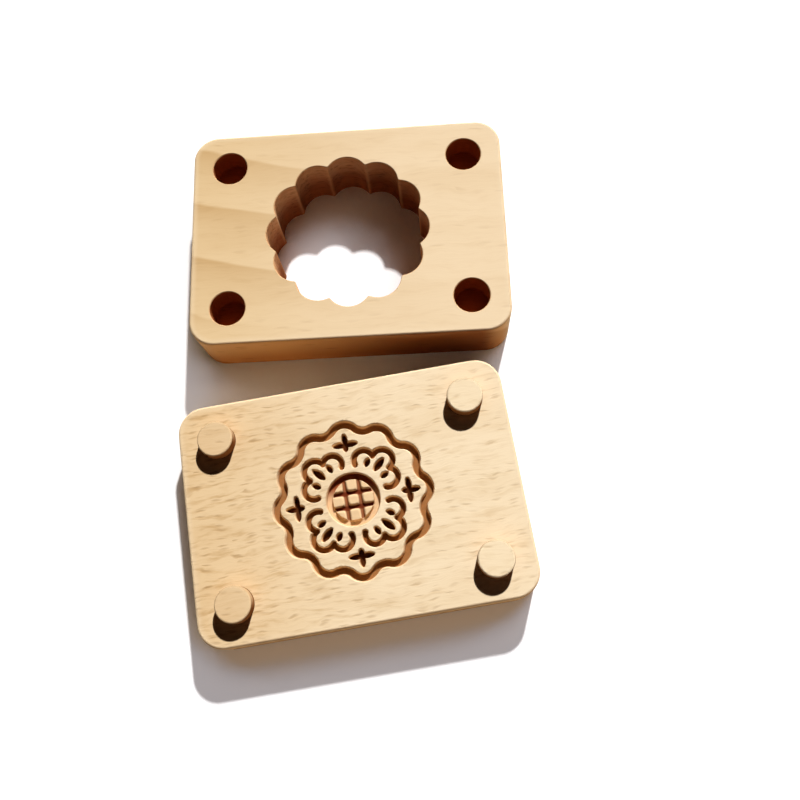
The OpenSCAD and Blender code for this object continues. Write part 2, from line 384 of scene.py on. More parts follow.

# %% [markdown]
# ## Sides and sanded edges
# The upright sides of a plate are coloured warmer than its faces, and the front side darker and warmer still
# as painted shade, for it faces away from the light. A sanded edge is a little paler and smoother, partly
# wear and partly a painted highlight.
# Edge wear is often painted from the mesh's curvature, which depends on how finely the mesh is cut. These
# plates are boxes with round corners, so a group measures the distance to that outline instead, and both
# masks follow it.

# %% Build the node group for a plate's outline
CORNER_R = 8
EDGE_R = 0.8


def outline_group():
    """Masks for the upright sides of a plate and for the band beside its sanded edges."""
    group, given, wanted = new_group("plate_outline", {"Height": BOARD_H}, ["Side", "Edge"])
    place = axes_of(group, given["Place"])
    past = []
    for axis, half in (("X", MOLD_L / 2), ("Y", MOLD_D / 2)):
        past.append(sum_of(group, "SUBTRACT", sum_of(group, "ABSOLUTE", place[axis]), half - CORNER_R))
    outside = [sum_of(group, "POWER", sum_of(group, "MAXIMUM", p, 0.0), 2.0) for p in past]
    round_part = sum_of(group, "SQRT", sum_of(group, "ADD", *outside))
    flat_part = sum_of(group, "MINIMUM", sum_of(group, "MAXIMUM", *past), 0.0)
    inwards = sum_of(group, "SUBTRACT", CORNER_R, sum_of(group, "ADD", round_part, flat_part))
    from_top = sum_of(group, "SUBTRACT", given["Height"], place["Z"])
    from_face = sum_of(group, "MINIMUM", place["Z"], from_top)
    group.links.new(fade(group, inwards, EDGE_R, 0.15), wanted["Side"])
    near = sum_of(group, "MULTIPLY", fade(group, inwards, 2.4, 0.7), fade(group, from_face, 0.5, 0.2))
    group.links.new(near, wanted["Edge"])
    return group


OUTLINE = outline_group()
print("node group:", OUTLINE.name)

# %% [markdown]
# ## A recipe for wood
# All the wood comes from one recipe: a pale face colour that turns darker towards the left end, which is
# painted shade where the light falls off, then tone, streaks, fibres and flecks laid over it as tints. Tints
# multiply, as stain does, so the layers keep each other's detail. A Mapping node of the Texture kind turns a
# place in the scene into millimetres along the plate's own length and depth, so the grain lies straight on
# the turned block. Bare wood hardly shines, so the IOR is low.

# %% Helpers for the finishes
FLECK_TINT = (0.55, 0.44, 0.32)
FIBRE_TINT = (0.80, 0.73, 0.62)
STREAK_TINT = (0.80, 0.72, 0.60)
TONE_TINT = (0.92, 0.88, 0.82)
PALE_EDGE = colour(250, 226, 190)
BARE_WOOD_IOR = 1.02


def grain_place(tree, middle=(0, 0), turn=0.0):
    """A place in millimetres, counted from the middle of a plate's underside along its own axes."""
    inputs = {
        "Vector": node(tree, "ShaderNodeTexCoord").outputs["Object"],
        "Location": (middle[0] * MM, middle[1] * MM, 0),
        "Rotation": (0, 0, turn),
        "Scale": (MM, MM, MM),
    }
    return node(tree, "ShaderNodeMapping", inputs, vector_type="TEXTURE").outputs[0]


def use(tree, group, outputs, **inputs):
    """Places a node group and returns the outputs asked for."""
    made = tree.nodes.new("ShaderNodeGroup")
    made.node_tree = group
    for title, value in inputs.items():
        feed(tree, made.inputs[title], value)
    return [made.outputs[o] for o in outputs]


def new_finish(name):
    """A material with a Principled BSDF."""
    finish = bpy.data.materials.new(name)
    finish.use_nodes = True
    shader = finish.node_tree.nodes["Principled BSDF"]
    shader.inputs["IOR"].default_value = BARE_WOOD_IOR
    return finish, finish.node_tree, shader


def towards_left(tree, axes):
    """0 on the right half of a plate, rising to 1 at its left end: the mask for painted shade at the left
    end, and for stronger grain there.
    """
    return fade(tree, axes["X"], 20.0, -52.0)


def at_front(tree, axes):
    """1 along a plate's front side."""
    return fade(tree, axes["Y"], 6 - MOLD_D / 2, 1 - MOLD_D / 2)


def from_upright(tree, axes):
    """Distance from the upright line through a plate's middle."""
    flat = node(tree, "ShaderNodeCombineXYZ", {"X": axes["X"], "Y": axes["Y"]}).outputs[0]
    return node(tree, "ShaderNodeVectorMath", {0: flat}, operation="LENGTH").outputs["Value"]


def darkened(tree, base, mask, strength, tint):
    """Multiplies a colour by a tint where a mask is, as far as a strength goes."""
    return mix(tree, sum_of(tree, "MULTIPLY", mask, strength), base, (*tint, 1.0), "MULTIPLY")


def with_edges(tree, base, edge):
    """A colour that is a little paler along the sanded edges: partly wear, partly a painted highlight."""
    return mix(tree, sum_of(tree, "MULTIPLY", edge, 0.3), base, PALE_EDGE)


def lay_grain(tree, shader, base, flecks, fibre, depth):
    """Feeds the colour, a roughness that follows the fibres, and a fine bump into the shader."""
    tree.links.new(base, shader.inputs["Base Color"])
    rough = sum_of(tree, "MULTIPLY_ADD", fibre, 0.20, 0.58)
    tree.links.new(rough, shader.inputs["Roughness"])
    height = sum_of(tree, "MULTIPLY_ADD", flecks, -0.8, fibre)
    bump = node(tree, "ShaderNodeBump", {"Strength": 0.35, "Distance": depth * MM, "Height": height})
    tree.links.new(bump.outputs[0], shader.inputs["Normal"])


print("tints:", FLECK_TINT, FIBRE_TINT, STREAK_TINT, TONE_TINT)

# %% [markdown]
# ## The board's finish
# The board is flecked beech. Its carving is browner the deeper it goes: partly the cut end grain, which soaks
# up oil and holds dust, and mostly painted shade in the grooves. Painting each stroke would need a picture of
# the flower. The height of a place already tells how deep the cutter went there, so three steps of depth turn
# the wood from pale to dark brown. The seed head has its own browns, also painted shade: dark in the grooves
# between its rows of pads, which run across the light, and a ring that is pale in front and dark behind,
# where its outer wall shades it. The front side of the board is painted warmer and darker than its other
# sides, as painted shade.

# %% Make the board's finish
HEAD_R, RING_W, PAD_PITCH = 8.0, 1.9, 4.3


def cut_grain_and_shade(tree, base, axes):
    """Lays brown into the carving by its depth below the board's face: partly cut grain, mostly painted
    shade.
    """
    def below(first, last):
        return fade(tree, axes["Z"], BOARD_H - first, BOARD_H - last)

    from_middle = from_upright(tree, axes)
    carved = sum_of(tree, "MULTIPLY", below(4.0, 3.0), fade(tree, from_middle, 27.0, 25.5))
    past_petals = fade(tree, from_middle, 17.5, 19.5)
    # Painted shade: the groove floors and the deepest cuts are brown and dark brown, paler just under the
    # rim.
    groove_floor = mix(tree, past_petals, colour(146, 93, 50), colour(166, 114, 68))
    browns = ((0.1, 0.6, colour(240, 204, 158)), (1.0, 1.8, groove_floor), (1.95, 2.15, colour(80, 42, 20)))
    for first, last, brown in browns:
        base = mix(tree, sum_of(tree, "MULTIPLY", below(first, last), carved), base, brown)
    in_head = sum_of(tree, "MULTIPLY", carved, fade(tree, from_middle, HEAD_R + 0.5, HEAD_R + 0.1))
    # Painted shade: the ring is darker behind, where its outer wall shades it.
    ring = mix(tree, fade(tree, axes["Y"], 0.0, 5.0), colour(224, 186, 142), colour(150, 78, 44))
    across = sum_of(tree, "SUBTRACT", sum_of(tree, "ABSOLUTE", axes["Y"]), PAD_PITCH / 2)
    # Painted shade: the grooves between the rows of pads lie across the light and are darker than those
    # between the columns.
    between_rows = fade(tree, sum_of(tree, "ABSOLUTE", across), 1.0, 0.5)
    between = mix(tree, between_rows, colour(150, 92, 58), colour(112, 48, 26))
    pads_end = HEAD_R - RING_W
    head = mix(tree, fade(tree, from_middle, pads_end - 0.2, pads_end + 0.2), between, ring)
    return mix(tree, sum_of(tree, "MULTIPLY", below(0.9, 1.7), in_head), base, head)


def board_finish():
    """Flecked beech with a warm front side and brown in the depth of the carving, both mostly painted shade.
    """
    finish, tree, shader = new_finish("board_wood")
    place = grain_place(tree)
    axes = axes_of(tree, place)
    (flecks,) = use(tree, FLECKS, ["Flecks"], Place=place, Length=4.6, Width=1.0, Share=0.6)
    fibre, streak, tone = use(tree, FIBRE, ["Fibre", "Streak", "Tone"], Place=place)
    side, edge = use(tree, OUTLINE, ["Side", "Edge"], Place=place, Height=BOARD_H)
    left = towards_left(tree, axes)
    # Painted shade: the face darkens towards the left end, where the light falls off.
    base = mix(tree, left, colour(250, 227, 191), colour(235, 203, 157))
    base = darkened(tree, base, fade(tree, tone, 0.4, 0.7), 0.6, TONE_TINT)
    streaks = sum_of(tree, "MULTIPLY_ADD", left, 0.5, 0.5)
    base = darkened(tree, base, fade(tree, streak, 0.45, 0.75), streaks, (0.78, 0.70, 0.58))
    base = darkened(tree, base, fade(tree, fibre, 0.5, 0.8), 0.3, FIBRE_TINT)
    base = darkened(tree, base, flecks, sum_of(tree, "MULTIPLY_ADD", left, 0.16, 0.36), FLECK_TINT)
    # Painted shade: the front side faces away from the light and is warmer and darker than the other sides.
    warm = mix(tree, at_front(tree, axes), colour(244, 212, 168), colour(236, 190, 134))
    base = mix(tree, side, base, darkened(tree, warm, flecks, 0.5, FLECK_TINT))
    base = cut_grain_and_shade(tree, with_edges(tree, base, edge), axes)
    lay_grain(tree, shader, base, flecks, fibre, 0.12)
    return finish


BOARD_WOOD = board_finish()
print("material:", BOARD_WOOD.name)

# %% [markdown]
# ## The block's finish
# The block is smoother wood with few flecks and with wide growth bands, clearest at its left end. Its front
# side is warm, and it goes darker downwards and towards the right, as the photograph shows it: painted shade,
# where the board stands close in front of it. Its face also darkens towards the left end, as painted shade.
# One wood material for both halves would be simpler, but they are plainly from two planks.

# %% Make the block's finish
def block_finish():
    """Smooth wood with wide bowed growth bands, and a front side painted darker downwards and to the right as
    painted shade.
    """
    finish, tree, shader = new_finish("block_wood")
    place = grain_place(tree, BLOCK_MIDDLE, BLOCK_TURN)
    axes = axes_of(tree, place)
    (flecks,) = use(tree, FLECKS, ["Flecks"], Place=place, Length=7.0, Width=1.4, Share=0.3)
    fibre, streak, tone = use(tree, FIBRE, ["Fibre", "Streak", "Tone"], Place=place)
    (rings,) = use(tree, RINGS, ["Rings"], Place=place, Start=14.0)
    side, edge = use(tree, OUTLINE, ["Side", "Edge"], Place=place, Height=BLOCK_H)
    left = towards_left(tree, axes)
    # Painted shade: the face darkens towards the left end, where the light falls off.
    base = mix(tree, left, colour(245, 219, 181), colour(235, 204, 157))
    base = darkened(tree, base, fade(tree, tone, 0.4, 0.7), 0.4, TONE_TINT)
    bands = sum_of(tree, "MULTIPLY_ADD", left, 0.85, 0.08)
    bands = sum_of(tree, "MULTIPLY", bands, fade(tree, axes["Y"], -34.0, -22.0))
    base = darkened(tree, base, rings, bands, (0.76, 0.66, 0.52))
    base = darkened(tree, base, fade(tree, streak, 0.45, 0.8), 0.22, STREAK_TINT)
    base = darkened(tree, base, fade(tree, fibre, 0.45, 0.8), 0.16, STREAK_TINT)
    base = darkened(tree, base, flecks, 0.2, FLECK_TINT)
    # Painted shade: the front side darkens downwards and towards the right, where the board shades it.
    down = fade(tree, axes["Z"], BLOCK_H - 1.0, 2.0)
    warm = mix(tree, down, colour(238, 186, 126), colour(206, 142, 86))
    right_end_shade = sum_of(tree, "MULTIPLY", fade(tree, axes["X"], -24.0, 24.0), fade(tree, axes["X"], 49.0, 40.0))
    warm = darkened(tree, warm, right_end_shade, 0.9, (0.36, 0.20, 0.14))
    warm = mix(tree, at_front(tree, axes), colour(242, 210, 164), warm)
    warm = darkened(tree, warm, rings, 0.6, (0.66, 0.52, 0.38))
    base = mix(tree, side, base, darkened(tree, warm, flecks, 0.5, FLECK_TINT))
    lay_grain(tree, shader, with_edges(tree, base, edge), flecks, fibre, 0.08)
    return finish


BLOCK_WOOD = block_finish()
print("material:", BLOCK_WOOD.name)

# %% [markdown]
# ## The pegs' finish
# The pegs are the board's own beech. Their tops are as pale as the board, and their turned walls are painted
# browner as painted shade, most of all in front, away from the light, and low down at the board. The back of
# the top rim, which faces the light, is painted darker to dim its highlight. All four share one material: the
# sign of Y tells the front row from the rear one, so the distance behind a peg's own middle can be measured.

# %% Make the pegs' finish
def peg_finish():
    """Beech with a pale top, a wall painted browner low down and in front, and a rim painted darker behind:
    painted shade.
    """
    finish, tree, shader = new_finish("peg_wood")
    place = grain_place(tree, (3.0, 7.0))
    axes = axes_of(tree, grain_place(tree))
    (flecks,) = use(tree, FLECKS, ["Flecks"], Place=place, Length=4.0, Width=1.1, Share=0.6)
    fibre, streak = use(tree, FIBRE, ["Fibre", "Streak"], Place=place)
    # Painted shade: the pegs on the left are darker, where the light falls off.
    base = mix(tree, towards_left(tree, axes), colour(250, 227, 190), colour(229, 195, 149))
    base = darkened(tree, base, fade(tree, streak, 0.45, 0.75), 0.4, STREAK_TINT)
    base = darkened(tree, base, fade(tree, fibre, 0.5, 0.8), 0.3, FIBRE_TINT)
    base = darkened(tree, base, flecks, 0.35, FLECK_TINT)
    row = sum_of(tree, "MULTIPLY", sum_of(tree, "SIGN", axes["Y"]), abs(PEG_PLACES[0].y))
    behind = sum_of(tree, "SUBTRACT", axes["Y"], row)
    # Painted shade: the wall is browner low down at the board and in front, away from the light.
    low = fade(tree, axes["Z"], BOARD_H + 2.0, BOARD_H + 0.8)
    wall = mix(tree, low, colour(232, 200, 158), colour(160, 116, 76))
    wall = mix(tree, fade(tree, behind, 3.0, -2.0), wall, colour(140, 92, 54))
    base = mix(tree, fade(tree, axes["Z"], PEG_TOP - 0.02, PEG_TOP - 0.6), base, wall)
    # Painted shade: the back of the top rim faces the light and is darkened to dim its highlight.
    under_top = fade(tree, axes["Z"], PEG_TOP, PEG_TOP - 0.1)
    rim = sum_of(tree, "MULTIPLY", under_top, fade(tree, behind, -1.0, 4.0))
    base = darkened(tree, base, rim, 0.9, (0.66, 0.62, 0.58))
    lay_grain(tree, shader, base, flecks, fibre, 0.12)
    return finish


PEG_WOOD = peg_finish()
print("material:", PEG_WOOD.name)

# %% [markdown]
# ## The cut walls' finish
# The walls that the cutter left in the block are rougher and redder than its faces, and they darken downwards
# and to the right, which is painted shade deep in the cavity and on its side away from the light. The sockets
# are painted darker still, as painted shade in the deep holes. The ridges between the flutes are paler,
# partly wear and partly a painted highlight, and the broken edges at the mouths are paler. The cutters carry
# this material, and the Boolean that cuts with them hands it on to the new walls, so no face has to be picked
# by hand.

# %% Make the cut walls' finish
CUT_TINT = (0.70, 0.58, 0.46)
CUT_FLECK_TINT = (0.50, 0.40, 0.32)


def cut_finish():
    """A wall left by the cutter: red-brown, painted darker downwards and to the right as painted shade,
    darker still in the sockets, with ridges paler from wear and a painted highlight, and paler broken edges.
    """
    finish, tree, shader = new_finish("cut_wood")
    place = grain_place(tree, BLOCK_MIDDLE, BLOCK_TURN)
    axes = axes_of(tree, place)
    (flecks,) = use(tree, FLECKS, ["Flecks"], Place=place, Length=5.0, Width=0.9, Share=0.6)
    fibre, streak, tone = use(tree, FIBRE, ["Fibre", "Streak", "Tone"], Place=place)
    # Painted shade: the walls darken downwards into the cavity and towards its right side, away from the
    # light.
    down = fade(tree, axes["Z"], BLOCK_H - 1.0, BLOCK_H - 13.0)
    base = mix(tree, down, colour(240, 192, 144), colour(170, 108, 70))
    base = darkened(tree, base, fade(tree, axes["X"], -4.0, 18.0), 0.9, (0.56, 0.44, 0.38))
    base = darkened(tree, base, fade(tree, tone, 0.35, 0.7), 0.6, (0.76, 0.66, 0.56))
    base = darkened(tree, base, fade(tree, streak, 0.4, 0.75), 0.6, CUT_TINT)
    base = darkened(tree, base, fade(tree, fibre, 0.45, 0.8), 0.4, CUT_TINT)
    base = darkened(tree, base, flecks, 0.6, CUT_FLECK_TINT)
    # The ridges are paler: partly wear, partly a painted highlight.
    ridge = sum_of(tree, "MULTIPLY", fade(tree, from_upright(tree, axes), 24.2, 23.5), 0.4)
    base = mix(tree, ridge, base, colour(236, 190, 140))
    # Painted shade: the sockets are darker inside.
    in_sockets = fade(tree, sum_of(tree, "ABSOLUTE", axes["X"]), 28.0, 31.0)
    socket_shade = darkened(tree, colour(184, 112, 70), fibre, 0.8, CUT_FLECK_TINT)
    base = mix(tree, in_sockets, base, socket_shade)
    from_face = sum_of(tree, "MINIMUM", axes["Z"], sum_of(tree, "SUBTRACT", BLOCK_H, axes["Z"]))
    base = mix(tree, fade(tree, from_face, 0.3, 0.2), base, colour(226, 182, 132))
    lay_grain(tree, shader, base, flecks, fibre, 0.12)
    return finish


CUT_WOOD = cut_finish()
print("material:", CUT_WOOD.name)

# %% [markdown]
# ## Working by hand in edit mode
# An operator acts on whatever is selected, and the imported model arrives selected. So each step starts by
# deselecting, and edges and faces are then picked by where their corners lie.

# %% Helpers for modelling
HAIR = 0.01


def start_fresh():
    """Leaves edit mode and deselects everything."""
    if bpy.context.mode != "OBJECT":
        bpy.ops.object.mode_set(mode="OBJECT")
    bpy.ops.object.select_all(action="DESELECT")


def take(piece, mode="OBJECT"):
    """Makes one piece the only selected one, and enters a mode."""
    start_fresh()
    bpy.context.view_layer.objects.active = piece
    piece.select_set(True)
    bpy.ops.object.mode_set(mode=mode)


def pick(kind, test):
    """In edit mode, selects each EDGE or FACE whose corners, in millimetres, pass the test."""
    bpy.ops.mesh.select_mode(type=kind)
    bpy.ops.mesh.select_all(action="DESELECT")
    shape = bmesh.from_edit_mesh(bpy.context.object.data)
    parts = shape.edges if kind == "EDGE" else shape.faces
    for part in parts:
        if test([v.co / MM for v in part.verts]):
            part.select_set(True)
    bmesh.update_edit_mesh(bpy.context.object.data)


def apply(piece, kind, **settings):
    """Adds a modifier and applies it at once."""
    take(piece)
    modifier = piece.modifiers.new(kind.lower(), kind)
    for key, value in settings.items():
        setattr(modifier, key, value)
    bpy.ops.object.modifier_apply(modifier=modifier.name)


def carve_away(piece, cutters):
    """Cuts each cutter out of a piece and deletes it. The new walls keep the cutter's material."""
    for cutter in cutters:
        settings = {"operation": "DIFFERENCE", "solver": "EXACT", "material_mode": "TRANSFER"}
        apply(piece, "BOOLEAN", object=cutter, **settings)
        bpy.data.objects.remove(cutter)


def smooth_faces(piece, sharp_from):
    """Smooth shading, with edges kept where faces meet at more than an angle, and flat faces kept flat."""
    take(piece)
    bpy.ops.object.shade_smooth_by_angle(angle=math.radians(sharp_from))
    apply(piece, "WEIGHTED_NORMAL", keep_sharp=True)


print("places closer than", HAIR, "mm count as one")

# %% [markdown]
# ## A plate with round corners and sanded edges
# Both halves start as the same plank, sawn to size, with the corners rounded on a disc sander and every
# edge broken with fine paper. By hand that is a cube, stretched, with a wide bevel on the four upright
# edges and then a narrow one all round the top and bottom. A ready-rounded shape would give less control
# over the two radii.

# %% Shape a plate
CORNER_STEPS, EDGE_STEPS = 16, 5


def sanded_plate(name, height, finish):
    """A plate of the mold's length and depth that stands on the floor at the origin."""
    start_fresh()
    bpy.ops.mesh.primitive_cube_add(size=MM)
    plate = bpy.context.object
    plate.name = plate.data.name = name
    plate.data.materials.append(finish)
    take(plate, "EDIT")
    bpy.ops.transform.resize(value=(MOLD_L, MOLD_D, height))
    bpy.ops.transform.translate(value=(0, 0, height / 2 * MM))
    pick("EDGE", lambda ends: abs(ends[0].z - ends[1].z) > HAIR)
    bpy.ops.mesh.bevel(offset=CORNER_R * MM, segments=CORNER_STEPS, affect="EDGES")
    pick("EDGE", lambda ends: abs(ends[0].z - ends[1].z) < HAIR)
    bpy.ops.mesh.bevel(offset=EDGE_R * MM, segments=EDGE_STEPS, affect="EDGES")
    start_fresh()
    print(f"{name}: {len(plate.data.polygons)} faces, {height:.1f} mm high")
    return plate


# %% [markdown]
# ## Cutters
# Seats, sockets and the fluted cavity are all cut with an upright tool: a drill for the round holes and a
# router that follows the flutes for the cavity. One helper makes all of them. It starts from a filled
# circle, moves each corner out or in to follow an outline, and extrudes it through a few levels that grow
# or shrink, which gives the chamfer at a mouth and the small fillet on a floor.

# %% Make an upright tool
ROUND_CORNERS = 72


def upright_tool(name, corners, radius_at, levels, middle, finish):
    """A closed solid. radius_at gives its radius at an angle, and levels pair heights with growth."""
    start_fresh()
    bpy.ops.mesh.primitive_circle_add(vertices=corners, radius=MM, fill_type="NGON")
    tool = bpy.context.object
    tool.name = tool.data.name = name
    tool.data.materials.append(finish)
    height, growth = levels[0]
    outline = []
    for corner in tool.data.vertices:
        angle = math.atan2(corner.co.y, corner.co.x)
        outline.append(radius_at(angle))
        reach = outline[-1] + growth
        corner.co = Vector((reach * math.cos(angle), reach * math.sin(angle), height)) * MM
    usual = sum(outline) / len(outline)
    take(tool, "EDIT")
    bpy.ops.mesh.select_all(action="SELECT")
    for next_height, next_growth in levels[1:]:
        step = (0, 0, (next_height - height) * MM)
        bpy.ops.mesh.extrude_region_move(TRANSFORM_OT_translate={"value": step})
        scale = (usual + next_growth) / (usual + growth)
        bpy.ops.transform.resize(value=(scale, scale, 1))
        height, growth = next_height, next_growth
    bpy.ops.mesh.select_all(action="SELECT")
    bpy.ops.mesh.normals_make_consistent(inside=False)
    bpy.ops.transform.translate(value=(middle[0] * MM, middle[1] * MM, 0))
    start_fresh()
    print(f"{name}: {len(tool.data.polygons)} faces")
    return tool


def drill(name, r, levels, middle, finish):
    """A round upright tool."""
    return upright_tool(name, ROUND_CORNERS, lambda angle: r, levels, middle, finish)


# %% [markdown]
# ## The carved flower
# A router carves the flower: a border that sways with the flutes of the cavity, four petals with three
# slots each, four small leaf crosses, and a round seed head with nine pads. Its bit leaves steep walls,
# soft rims and an eased floor, so each groove shows one lit and one dark wall. Cutting each stroke with a
# Boolean would leave hard rims and a torn mesh. So the groove's depth is worked out from the distance to
# the stroke's edge, as a depth map for a router is, and a fine grid is lowered by it. The sizes are those
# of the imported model.

# %% Sizes of the carving
CAVITY_R, FLUTES, FLUTE_DEPTH = 26.0, 12, 2.7
HALF_STEP = math.pi / FLUTES
CARVE_DEPTH, SLOT_DEPTH = 2.0, 2.2
BORDER_MARGIN, BORDER_W, BORDER_SWAY = 1.8, 2.3, 2.15
BORDER_R = CAVITY_R - BORDER_MARGIN - BORDER_W / 2
VALLEY_R = BORDER_R - BORDER_SWAY
PETALS, PETAL_GAP, PETAL_W, PETAL_STEP = 4, 1.25, 1.7, 2.25
PETAL_MID_R, PETAL_SIDE_R = 3.2, 2.9
PETAL_SPREAD, CURL_END = math.radians(22), math.radians(155)
PETAL_MID = np.array((VALLEY_R - BORDER_W / 2 - PETAL_GAP - PETAL_W / 2 - PETAL_MID_R, 0.0))
PETAL_SIDE = (PETAL_MID[0] - PETAL_STEP) * np.array((math.cos(PETAL_SPREAD), math.sin(PETAL_SPREAD)))
SLOT_L, SLOT_W = 4.8, 2.1
SIDE_SLOT_L, SIDE_SLOT_W, SIDE_SLOT_STEP = 2.8, 1.7, 1.1
SIDE_SLOT_SPREAD = math.radians(16)
SLOT_MIDDLE = PETAL_MID[0] - PETAL_MID_R / 2
LEAF_OUT_L, LEAF_SIDE_L, LEAF_IN_L, LEAF_W, LEAF_ROOT = 3.3, 3.8, 2.2, 1.8, 0.6
CROSS_GAP = 1.8
CROSS_MIDDLE = BORDER_R - BORDER_W / 2 - CROSS_GAP - LEAF_OUT_L
print("border middle line from", round(VALLEY_R, 2), "to", round(BORDER_R, 2), "mm")

# %% [markdown]
# ## Folding the flower
# The flower repeats, so a place is first folded into one sector: turned to the nearest repeat and mirrored
# to its left half. Then only one crown of the border, one half petal and one half cross have to be
# measured. A stroke along a line gives the distance to that line, and a leaf gives a distance that is
# negative inside it.

# %% Helpers for distances
TIP_R = 0.45


def folded(x, y, count, start):
    """Places turned into the sector round the X axis that they repeat in, and mirrored to its left half."""
    sector = 2 * math.pi / count
    angle = np.mod(np.arctan2(y, x) - start + sector / 2, sector) - sector / 2
    r = np.hypot(x, y)
    return r * np.cos(angle), np.abs(r * np.sin(angle))


def to_arc(x, y, centre, r, first, last):
    """Distance to an arc that runs anticlockwise from one direction to another."""
    dx, dy = x - centre[0], y - centre[1]
    along = np.mod(np.arctan2(dy, dx) - first, 2 * math.pi)
    tips = [np.hypot(dx - r * math.cos(end), dy - r * math.sin(end)) for end in (first, last)]
    return np.where(along <= last - first, np.abs(np.hypot(dx, dy) - r), np.minimum(*tips))


def leaf(x, y, middle, length, width, turn=0.0):
    """Distance into a leaf between two arcs with rounded tips, whose middle and direction are given."""
    dx, dy = x - middle[0], y - middle[1]
    along = np.abs(dx * math.cos(turn) + dy * math.sin(turn))
    aside = np.abs(dy * math.cos(turn) - dx * math.sin(turn))
    half, core = length / 2 - TIP_R, width - 2 * TIP_R
    r = (4 * half**2 + core**2) / (4 * core)
    back = r - core / 2
    past_tip = (along - half) * back > aside * half
    return np.where(past_tip, np.hypot(along - half, aside), np.hypot(along, aside + back) - r) - TIP_R


print("the middle of a leaf 3 mm wide is", -leaf(0, 0, (0, 0), 8, 3).round(2), "mm inside its edge")

# %% [markdown]
# ## The strokes of the flower
# The border sways between two radii on arcs of one radius that touch where they meet, so it has no corner.
# A petal is a middle lobe and two side lobes that curl in, and the slots and the crosses are leaves.

# %% Distances to the strokes
def border_line(x, y):
    """Distance to the border's middle line."""
    x, y = folded(x, y, FLUTES, 0.0)
    a = 1 - math.cos(HALF_STEP)
    b = (1 + math.cos(HALF_STEP)) * BORDER_SWAY
    c = BORDER_R**2 + VALLEY_R**2 - 2 * BORDER_R * VALLEY_R * math.cos(HALF_STEP)
    r = (math.sqrt(b**2 + 2 * a * c) - b) / (2 * a)
    crown = np.array((BORDER_R - r, 0.0))
    valley = (VALLEY_R + r) * np.array((math.cos(HALF_STEP), math.sin(HALF_STEP)))
    way = valley - crown
    on_crown = way[0] * (y - crown[1]) < way[1] * (x - crown[0])
    to_crown = np.abs(np.hypot(x - crown[0], y - crown[1]) - r)
    to_valley = np.abs(np.hypot(x - valley[0], y - valley[1]) - r)
    return np.where(on_crown, to_crown, to_valley)


def petal_line(x, y):
    """Distance to a petal's outline."""
    x, y = folded(x, y, PETALS, math.pi / PETALS)
    gap = PETAL_SIDE - PETAL_MID
    length = math.hypot(*gap)
    along = (length**2 + PETAL_MID_R**2 - PETAL_SIDE_R**2) / (2 * length)
    out = math.sqrt(PETAL_MID_R**2 - along**2)
    notch = PETAL_MID + (along * gap + out * np.array((gap[1], -gap[0]))) / length
    mid_end = math.atan2(*(notch - PETAL_MID)[::-1])
    side_start = math.atan2(*(notch - PETAL_SIDE)[::-1])
    middle = to_arc(x, y, PETAL_MID, PETAL_MID_R, 0.0, mid_end)
    side = to_arc(x, y, PETAL_SIDE, PETAL_SIDE_R, side_start, CURL_END)
    return np.minimum(middle, side)


def slots(x, y):
    """Distance into the three slots of a petal."""
    x, y = folded(x, y, PETALS, math.pi / PETALS)
    out = SLOT_MIDDLE - SIDE_SLOT_STEP
    aside = out * np.array((math.cos(SIDE_SLOT_SPREAD), math.sin(SIDE_SLOT_SPREAD)))
    middle = leaf(x, y, (SLOT_MIDDLE, 0), SLOT_L, SLOT_W)
    return np.minimum(middle, leaf(x, y, aside, SIDE_SLOT_L, SIDE_SLOT_W, SIDE_SLOT_SPREAD))


def crosses(x, y):
    """Distance into the leaves of a cross, which grow out of its middle."""
    x, y = folded(x, y, PETALS, 0.0)
    leaves = []
    for length, turn in ((LEAF_OUT_L, 0.0), (LEAF_SIDE_L, math.pi / 2), (LEAF_IN_L, math.pi)):
        step = (length - LEAF_ROOT) / 2
        middle = (CROSS_MIDDLE + step * math.cos(turn), step * math.sin(turn))
        leaves.append(leaf(x, y, middle, length + LEAF_ROOT, LEAF_W, turn))
    return np.min(leaves, axis=0)


print("cross middles", round(CROSS_MIDDLE, 2), "mm out, petal lobes", PETAL_MID.round(2), PETAL_SIDE.round(2))

# %% [markdown]
# ## The depth of the strokes
# A stroke's depth grows from its edge inwards with a smooth step: that rounds the rim a little, keeps the
# wall steep and eases the floor. The grooves between the pads of the seed head are shallower, and a soft
# minimum rounds the corners where they cross, so that the pads look like small pillows. Where strokes meet,
# the deeper one counts.

# %% Depth of the carving
RIM = 0.22
STEEP, BORDER_RUN = 0.5, 0.65
PAD_DROP, PAD_GROOVE_RISE, PAD_ROUND = 0.6, 0.2, 0.6
PAD_GROOVE = CARVE_DEPTH - PAD_DROP - PAD_GROOVE_RISE
PAD_GROOVE_HALF, PAD_RUN = 0.7, 0.9
HEAD_BULGE = 0.2


def groove(inside, depth, run):
    """Depth of a stroke with an eased rim, which reaches its full depth at a run inside the rim."""
    share = np.clip((RIM - inside) / run, 0, 1)
    return depth * share * share * (3 - 2 * share)


def seed_head(x, y):
    """Depth of the seed head: pillowed pads inside a ring groove."""
    r = np.hypot(x, y)
    ring_r = HEAD_R - RING_W / 2
    ring = groove(np.abs(r - ring_r) - RING_W / 2, CARVE_DEPTH, STEEP)
    across, along = np.abs(np.abs((x, y)) - PAD_PITCH / 2)
    to_line = (across + along - np.hypot(across - along, PAD_ROUND)) / 2
    pads = PAD_DROP + groove(to_line - PAD_GROOVE_HALF, PAD_GROOVE, PAD_RUN) + HEAD_BULGE * (r / ring_r) ** 3
    return np.maximum(ring, np.where(r < ring_r, np.minimum(pads, CARVE_DEPTH), 0))


